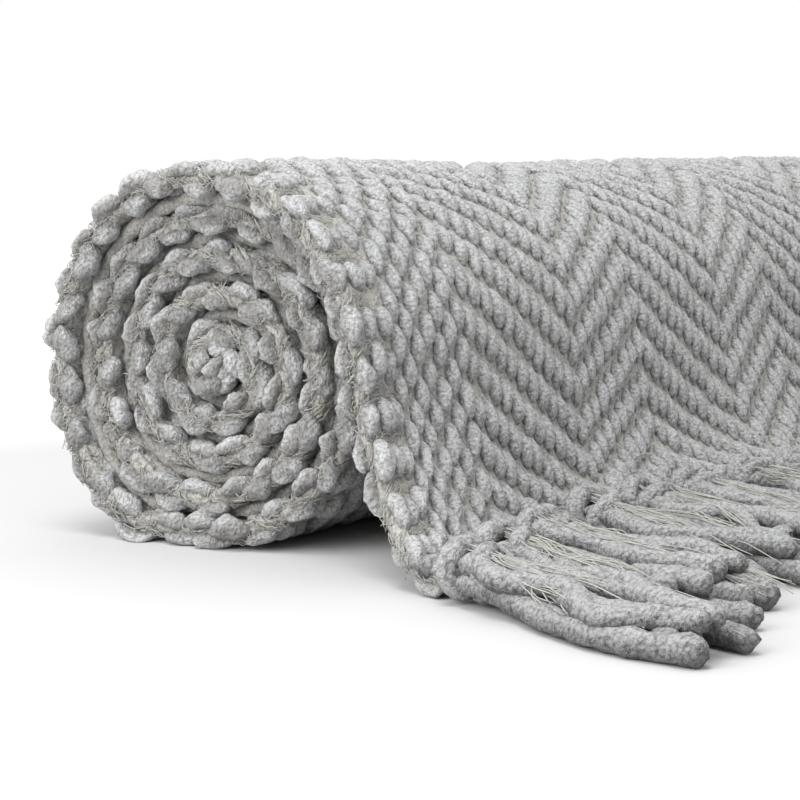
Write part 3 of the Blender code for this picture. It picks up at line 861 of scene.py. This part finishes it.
# Fringe
UP = (0.0, 0.0, 1.0)
CORNER_TASSELS = (0.002, 0.026)  # bunched where the corner is pulled out, in place of the first one
CORNER_LENGTHS = (1.12, 0.98)
FINE_TASSELS = 12       # the near ones, with finer meshes and more threads
YARN_RADIUS = 0.0043
YARN_AROUND = (10, 8)   # points around the near tassels' yarns, and around the others'
YARN_BUMPS = (
    # size, fewest and most waves along the yarn
    (0.11, 1.2, 2.6),
    (0.05, 4.5, 7.5),
)
YARN_THINNED = 0.05
YARN_UNEVEN = 0.02
YARN_HEAD = 0.6
YARN_TIP = (1.07, 1.02, 0.82, 0.45)
YARN_LUMPS = 0.00034
UNDER_LIGHT = 0.04      # a yarn's underside against its top
UNDER_FALL = 1.7
KNOT_WIDE = 0.0074
KNOT_HIGH = 0.0070
KNOT_TURNS = (
    # two turns of yarn round the tassel: place ahead, size, slant
    (0.0036, 1.0, 0.34),
    (0.0118, 0.90, -0.46),
)
KNOT_POINTS = 18
KNOT_BUMP = 0.07
KNOT_LIGHT = (0.16, 0.76)
KNOT_LIFT = (0.0012, 2.3, 0.0008)  # unevenness, its wave in radians a tassel, and the least
YARNS_PER_TASSEL = 5    # the cloth's own, which run together into the knot
GATHER_SIZE = 0.82
GATHER_LIGHT = 0.66
GATHER_WIDE = 0.92
GATHER_EDGE = 0.004
GATHER_BACK = np.array((0.012, 0.006, 0.0))  # before the hem
GATHER_HEIGHT = np.array((0.0022, 0.0040, 0.0046))
GATHER_AHEAD = 0.004    # in the knot
GATHER_SPAN = 0.010
GATHER_TOP = 0.0104
GATHER_BOW = 0.0004
GATHER_AROUND = 8
STRAND_LANES = (
    # place across the knot, place at the tips, layer
    (-0.95, -1.3, 0), (-0.35, -0.5, 0), (0.35, 0.6, 0), (0.95, 1.6, 0),
    (-0.6, -1.1, 1), (0.05, 0.05, 1), (0.65, 1.15, 1),
)
LANE = 0.0088
KNOT_LANE = 0.0058
LANE_WANDER = 0.0052
ROOT_AHEAD = 0.005      # in the knot
DROP_SHARE = 0.3        # share of a strand on which it comes down from the knot
DROP_POINTS = 8
REST_SHARE = 0.95       # share at which its tip begins
TIP_SHARES = (0.978, 0.992, 1.0)
STRAND_STEPS = (18, 12)  # points along the resting part of the near tassels' strands, and of the others'
STRAND_SHORTER = 0.006
STRAND_LENGTHS = (-0.018, 0.006)
LAYER_SHORTER = 0.005
STRAND_HEIGHT = 0.0080
LAYER_HEIGHT = 0.0062
LAYER_REST = 1.70       # yarn radii
STRAND_LIGHT = 0.80
LAYER_LIGHT = 0.2
STRAND_WAVES = (0.8, 1.9)
STRAND_SWAY = (0.0026, 0.0068)
STRAND_RISE = 0.0020
STRAND_BEND = 0.006
BUNDLES = (7, 3)        # on each near tassel, and on each of the others
BUNDLE_THREADS = 7
BUNDLE_POINTS = 17
BUNDLE_THREAD_RADIUS = 0.00024
BUNDLE_HEIGHTS = (0.0190, 0.0178, 0.0160, 0.0145, 0.0105)
BUNDLE_SUNK = 0.0035
BUNDLE_AHEAD = 0.008    # on the knot
BUNDLE_START = 0.005
BUNDLE_TIP = 0.013
BUNDLE_SWAY = (0.0012, 0.0036)
BUNDLE_WAVES = (0.9, 2.0)
BUNDLE_REACH = (0.6, 1.0)
THREAD_REACH = (0.5, 1.05)
THREAD_WAVE = 0.0008
THREAD_APART = (0.0009, 0.0022)  # spread of a bundle's threads at the knot, and what the tips add
THREAD_PHASE = 0.6
THREAD_HEIGHT = (-0.0016, 0.0004)


def lean(length):
    """The way that the strands lie at a place along the hem."""
    degrees = LEAN_FAR_DEG + (LEAN_NEAR_DEG - LEAN_FAR_DEG) * math.exp(-(length / LEAN_REACH) ** 2)
    sway, wave, phase = LEAN_SWAY
    degrees += sway * math.sin(2 * math.pi * length / wave + phase)
    angle = math.radians(degrees)
    return np.array((-math.sin(angle), -math.cos(angle), 0.0))


def hem_frames():
    """Each tassel's place across the cloth, its knot's place on the floor and its three directions."""
    pitch = WIDTH / TASSELS
    places = list(CORNER_TASSELS) + [(i + 0.5) * pitch for i in range(1, TASSELS)]
    for place in places:
        around = cloth.at(place + np.array((-pitch, pitch)) / 2, np.full(2, HANG), np.zeros(2))
        centre = cloth.at(np.array((place,)), np.array((HANG,)), np.zeros(1))[0]
        along = (around[1] - around[0]) * (1.0, 1.0, 0.0)
        along /= np.linalg.norm(along)
        outward = np.array((along[1], -along[0], 0.0))
        knot = centre * (1.0, 1.0, 0.0) + outward * (SEAT_GAP + STRIP_DEPTH)
        yield place, knot, outward, lean(place), along


def beside(ahead, along):
    """The level direction square to one, on the far side."""
    side = np.array((-ahead[1], ahead[0], 0.0))
    return side if side @ along > 0 else -side


def strand_path(centre, run, side, start, tip, height, drop_height, length, steps, rng):
    """A yarn from its knot down to where it rests and on to its tip, with soft waves and a bent tip."""
    drop = np.linspace(0, DROP_SHARE, DROP_POINTS)
    rest = np.linspace(DROP_SHARE, REST_SHARE, steps - 1)[1:]
    shares = np.concatenate((drop, rest, TIP_SHARES))
    wave = rng.uniform(0, 2 * math.pi)
    waves = rng.uniform(*STRAND_WAVES)
    sway = rng.uniform(*STRAND_SWAY) * np.sin(2 * math.pi * waves * shares + wave) * smooth(shares / 0.25)
    bent = rng.normal(0, STRAND_BEND) * smooth((shares - 0.68) / 0.5)
    across = start + (tip - start) * smooth(shares / 0.9) + sway + bent
    up = height + (drop_height - height) * smooth(shares / 0.5)
    rise = STRAND_RISE * np.sin(2 * math.pi * waves * 0.8 * shares + 2 * wave)
    up = np.maximum(up + rise * smooth((shares - 0.3) / 0.3), YARN_RADIUS + FLOOR_GAP)
    return centre + np.outer(shares * length, run) + np.outer(across, side) + np.outer(up, UP)


def yarn_radius(count, rng):
    """Uneven thickness along a yarn, blunt at both ends."""
    t = np.linspace(0, 1, count)
    bumps = sum(size * np.sin(2 * math.pi * rng.uniform(fewest, most) * t + rng.uniform(0, 6))
                for size, fewest, most in YARN_BUMPS) - YARN_THINNED
    blunt = np.ones(count)
    blunt[0] = YARN_HEAD
    blunt[-len(YARN_TIP):] = YARN_TIP
    return YARN_RADIUS * (1 + bumps + rng.normal(0, YARN_UNEVEN, count)) * blunt


def add_yarn(gather, path, around, radius, light, rng):
    points, faces = tube(path, radius, around)
    middle = np.concatenate((path[:1], np.repeat(path, around, axis=0), path[-1:]))
    # painted light on the top of a yarn, painted shade on its underside
    upper = 0.5 + 0.5 * np.clip((points - middle)[:, 2] / YARN_RADIUS, -1, 1)
    points = points + rng.normal(0, YARN_LUMPS, points.shape)
    light = light * (UNDER_LIGHT + (1 - UNDER_LIGHT) * upper ** UNDER_FALL)
    gather.add(points, faces, light, rng.uniform(0, 1))


def add_knot(gather, number, centre, face, across, lift, around, rng):
    """Turns of yarn round a tassel, aslant."""
    for ahead, size, slant in KNOT_TURNS:
        angle = np.linspace(0, 2 * math.pi, KNOT_POINTS, endpoint=False)
        middle = centre + face * ahead + np.array((0, 0, YARN_RADIUS + KNOT_HIGH * size + lift))
        path = middle + (np.outer(np.cos(angle) * KNOT_WIDE * size, across)
                         + np.outer(np.sin(angle) * KNOT_HIGH * size, UP)
                         + np.outer(np.cos(angle + 0.5 * number) * KNOT_WIDE * slant, face))
        path[:, 2] = np.maximum(path[:, 2], YARN_RADIUS)
        radius = YARN_RADIUS * (1.0 + KNOT_BUMP * np.sin(3 * angle + rng.uniform(0, 6)))
        points, faces = tube(path, radius, around, up=face, closed=True)
        # painted shade inside the turns of the knot, painted light on their outer rim
        outer = np.linalg.norm((points - middle) @ np.stack((across, UP), axis=1), axis=1)
        outer = np.clip((outer - KNOT_HIGH) / (KNOT_WIDE + YARN_RADIUS - KNOT_HIGH), 0, 1)
        gather.add(points, faces, KNOT_LIGHT[0] + KNOT_LIGHT[1] * outer, rng.uniform(0, 1))


def add_gathered_yarns(gather, place, centre, face, across, lift, rng):
    """The cloth's own yarns, from the hem together into a knot."""
    for k in range(YARNS_PER_TASSEL):
        share = (k + 0.5) / YARNS_PER_TASSEL - 0.5
        start = np.clip(place + share * WIDTH / TASSELS * GATHER_WIDE, GATHER_EDGE, WIDTH - GATHER_EDGE)
        start = start + drift(start, HANG)
        hem = cloth.at(np.full(3, start), HANG - GATHER_BACK, GATHER_HEIGHT)
        into = (centre + face * GATHER_AHEAD + across * share * GATHER_SPAN
                + np.array((0, 0, GATHER_TOP + lift)))
        halfway = (hem[-1] + into) / 2 + (0, 0, GATHER_BOW)
        path = np.concatenate((hem, [halfway, into, into + face * GATHER_AHEAD]))
        add_yarn(gather, path, GATHER_AROUND, YARN_RADIUS * GATHER_SIZE, GATHER_LIGHT, rng)


def add_strands(gather, root, run, side, stretch, around, steps, rng):
    for start, tip, layer in STRAND_LANES:
        length = FRINGE_LENGTH - STRAND_SHORTER + rng.uniform(*STRAND_LENGTHS) - LAYER_SHORTER * layer
        rest = YARN_RADIUS + FLOOR_GAP + layer * YARN_RADIUS * LAYER_REST
        height = STRAND_HEIGHT + layer * LAYER_HEIGHT
        tip = tip * LANE + rng.normal(0, LANE_WANDER)
        path = strand_path(root, run, side, start * KNOT_LANE, tip, height, rest,
                           length * stretch, steps, rng)
        # painted light: the upper layer of strands is lighter
        light = STRAND_LIGHT + LAYER_LIGHT * layer
        add_yarn(gather, path, around, yarn_radius(len(path), rng), light, rng)


def add_bundle(gather, root, run, side, rng):
    """Combed thin threads from the top of a knot, fanned out over the strands."""
    t = np.linspace(0, 1, BUNDLE_POINTS)
    start, tip = rng.uniform(-BUNDLE_START, BUNDLE_START), rng.uniform(-BUNDLE_TIP, BUNDLE_TIP)
    sway, waves, phase = rng.uniform(*BUNDLE_SWAY), rng.uniform(*BUNDLE_WAVES), rng.uniform(0, 6)
    reach, sunk = FRINGE_LENGTH * rng.uniform(*BUNDLE_REACH), rng.uniform(0, BUNDLE_SUNK)
    for _ in range(BUNDLE_THREADS):
        length = reach * rng.uniform(*THREAD_REACH)
        across = (start + rng.normal(0, THREAD_APART[0]) + (tip - start) * smooth(t / 0.9)
                  + rng.normal(0, THREAD_APART[1]) * t
                  + sway * np.sin(2 * math.pi * waves * t + phase + rng.normal(0, THREAD_PHASE))
                  * smooth(t / 0.25)
                  + THREAD_WAVE * np.sin(2 * math.pi * rng.uniform(1.5, 2.6) * t + rng.uniform(0, 6)) * t)
        up = np.interp(t, (0, 0.2, 0.5, 0.8, 1.0), BUNDLE_HEIGHTS)
        up = up + rng.uniform(*THREAD_HEIGHT) - sunk * smooth(t / 0.3)
        up = up + THREAD_WAVE * np.sin(2 * math.pi * rng.uniform(1, 2.5) * t + rng.uniform(0, 6))
        path = root + np.outer(t * length, run) + np.outer(across, side) + np.outer(up, UP)
        points, faces = tube(path, BUNDLE_THREAD_RADIUS, THREAD_SIDES)
        gather.add(points, faces, 1.0, rng.uniform(0, 1))


def make_fringe(rng):
    yarns, threads = Gather(), Gather()
    for i, (place, centre, outward, run, along) in enumerate(hem_frames()):
        near_or_far = 0 if i < FINE_TASSELS else 1
        around = YARN_AROUND[near_or_far]
        stretch = CORNER_LENGTHS[i] if i < len(CORNER_TASSELS) else 1.0
        face = outward + run
        face /= np.linalg.norm(face)
        side, across = beside(run, along), beside(face, along)
        uneven, wave, least = KNOT_LIFT
        lift = uneven * math.sin(wave * i) + least
        add_knot(yarns, i, centre, face, across, lift, around, rng)
        add_gathered_yarns(yarns, place, centre, face, across, lift, rng)
        root = centre + face * ROOT_AHEAD
        add_strands(yarns, root, run, side, stretch, around, STRAND_STEPS[near_or_far], rng)
        for _ in range(BUNDLES[near_or_far]):
            add_bundle(threads, centre + face * BUNDLE_AHEAD + np.array((0, 0, lift)), run, side, rng)
    strands = yarns.build("fringe_strands", STRAND_PILE, "fringe_yarn")
    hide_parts("fringe")
    return [strands, threads.build("fringe_threads", THREAD, "fringe_yarn")]


pieces += make_fringe(np.random.default_rng(SEED + 1))

# Camera, as matched to the photo
CAMERA_PLACE = (-1.3298, -0.5009, 0.146)
FOCAL_PX = 2280
PHOTO_PX = 800
HORIZON_PX = 160
HEADING_DEG = 31.0
SENSOR = 36.0
camera_data = bpy.data.cameras.new("camera")
camera_data.sensor_width = SENSOR
camera_data.lens = SENSOR * FOCAL_PX / PHOTO_PX
camera_data.clip_start = 0.05
camera_data.clip_end = 60.0
camera = bpy.data.objects.new("camera", camera_data)
bpy.context.scene.collection.objects.link(camera)
pitch = math.atan((PHOTO_PX / 2 - HORIZON_PX) / FOCAL_PX)
camera.location = SHIFT + np.array(CAMERA_PLACE)
camera.rotation_euler = (math.pi / 2 - pitch, 0.0, math.radians(HEADING_DEG - 90))
bpy.context.scene.camera = camera

# Studio
LAMPS = (
    # name, place, the point that it faces, width and power
    ("key", (-1.3, -0.15, 2.2), (-0.3, 0.0, 0.05), 1.2, 32.5),
    ("top", (0.2, 0.5, 2.3), (0.0, 0.0, 0.0), 1.6, 9.5),
    ("end", (-2.1, 0.3, 0.8), (-0.65, 0.04, 0.07), 1.3, 35.0),
)
FLOOR_HALF = 30
# painted light: the paper's colour rises away from the roll to make up for the lamps' falloff
PAPER_NEAR = (0.46, 0.46, 0.46)
PAPER_FAR = (1.0, 1.0, 1.0)
FADE_CENTRE = (-0.55, -0.15, 0.0)
FADE = (0.5, 1.05)


def area_light(name, place, target, size, power):
    data = bpy.data.lights.new(name, "AREA")
    data.shape = "DISK"
    data.size = size
    data.energy = power
    light = bpy.data.objects.new(name, data)
    light.location = place
    direction = np.array(target, float) - np.array(place, float)
    yaw = math.atan2(direction[1], direction[0])
    tilt = math.atan2(math.hypot(direction[0], direction[1]), -direction[2])
    light.rotation_euler = (tilt, 0.0, yaw - math.pi / 2)
    bpy.context.scene.collection.objects.link(light)


def white_paper():
    """Paler away from the roll's near end, painted light where less of the lamps' light falls, so that the
    floor fades into the backdrop.
    """
    look = Look("white_paper", {"Roughness": 0.9})
    away = look.nodes.new("ShaderNodeVectorMath")
    away.operation = "DISTANCE"
    look.put(away, {0: look.where, 1: FADE_CENTRE})
    fade = look.scaled(away.outputs["Value"], *FADE)
    look.put(look.shader, {"Base Color": look.mix(PAPER_NEAR, PAPER_FAR, fade)})
    return look.material


world = bpy.data.worlds.new("studio")
world.use_nodes = True
backdrop = world.node_tree.nodes["Background"]
backdrop.inputs["Color"].default_value = (1.0, 1.0, 1.0, 1.0)
backdrop.inputs["Strength"].default_value = 1.0
bpy.context.scene.world = world
for lamp in LAMPS:
    area_light(*lamp)

floor_mesh = bpy.data.meshes.new("floor")
floor_corners = [(x * FLOOR_HALF, y * FLOOR_HALF, 0) for x, y in ((-1, -1), (1, -1), (1, 1), (-1, 1))]
floor_mesh.from_pydata(floor_corners, [], [(0, 1, 2, 3)])
floor_mesh.materials.append(white_paper())
floor = bpy.data.objects.new("floor", floor_mesh)
bpy.context.scene.collection.objects.link(floor)
bpy.context.scene.view_settings.view_transform = "Standard"
